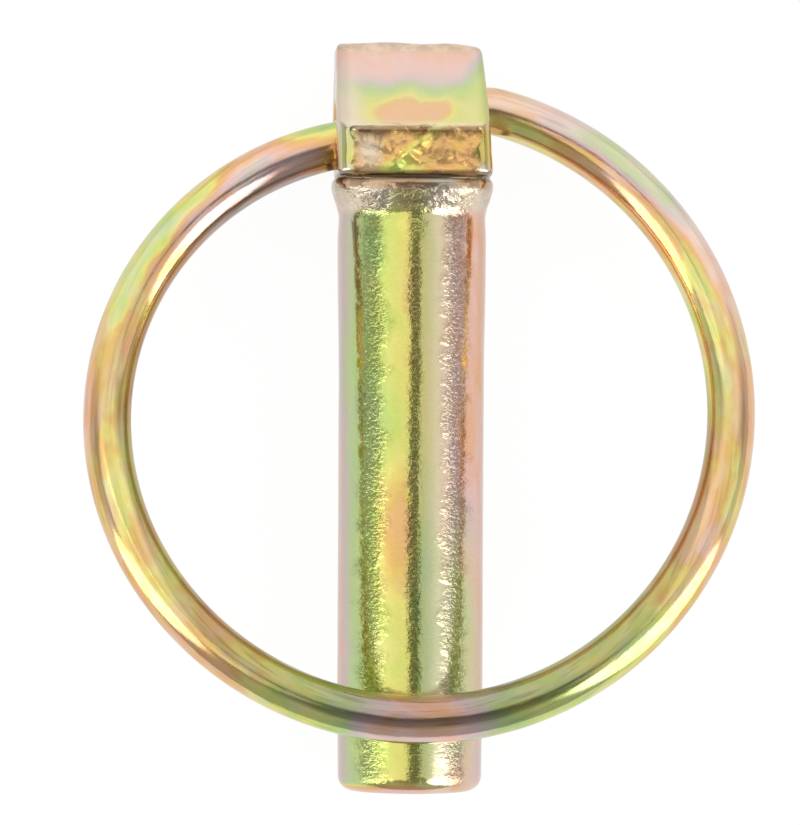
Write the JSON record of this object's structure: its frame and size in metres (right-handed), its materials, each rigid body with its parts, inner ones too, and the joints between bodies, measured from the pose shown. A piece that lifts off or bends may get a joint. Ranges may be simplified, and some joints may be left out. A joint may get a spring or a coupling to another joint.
{
  "type": "linch pin",
  "caption": "Forged steel linch pin with a squared, sloped head and a spring wire ring hinged in it, which snaps shut over the shank and keeps the pin in its hole.",
  "frame": {"origin": "on the shank's axis, where the plain round stretch starts under the flare", "axes": "-Y along the shank towards its tip, +Y towards the head, +Z out of the pin's front, where the shut ring lies, +X across"},
  "size_m": [0.0505, 0.0565, 0.0147],
  "materials": {
    "pin_plating": "iridescent yellow zinc plating over rough forged steel",
    "ring_plating": "iridescent yellow zinc plating over smooth drawn wire"
  },
  "bodies": {
    "pin": {"pin": "pin_plating"},
    "ring": {"ring": "ring_plating"}
  },
  "joints": [
    {"name": "ring_swing", "type": "hinge", "parent": "pin", "child": "ring", "pos_m": [0, 0.0087, -0.0005], "axis": [-0.9925, -0.12, 0.0215], "range_deg": [0, 173], "stiffness_Nm_per_rad": 0.05}
  ]
}
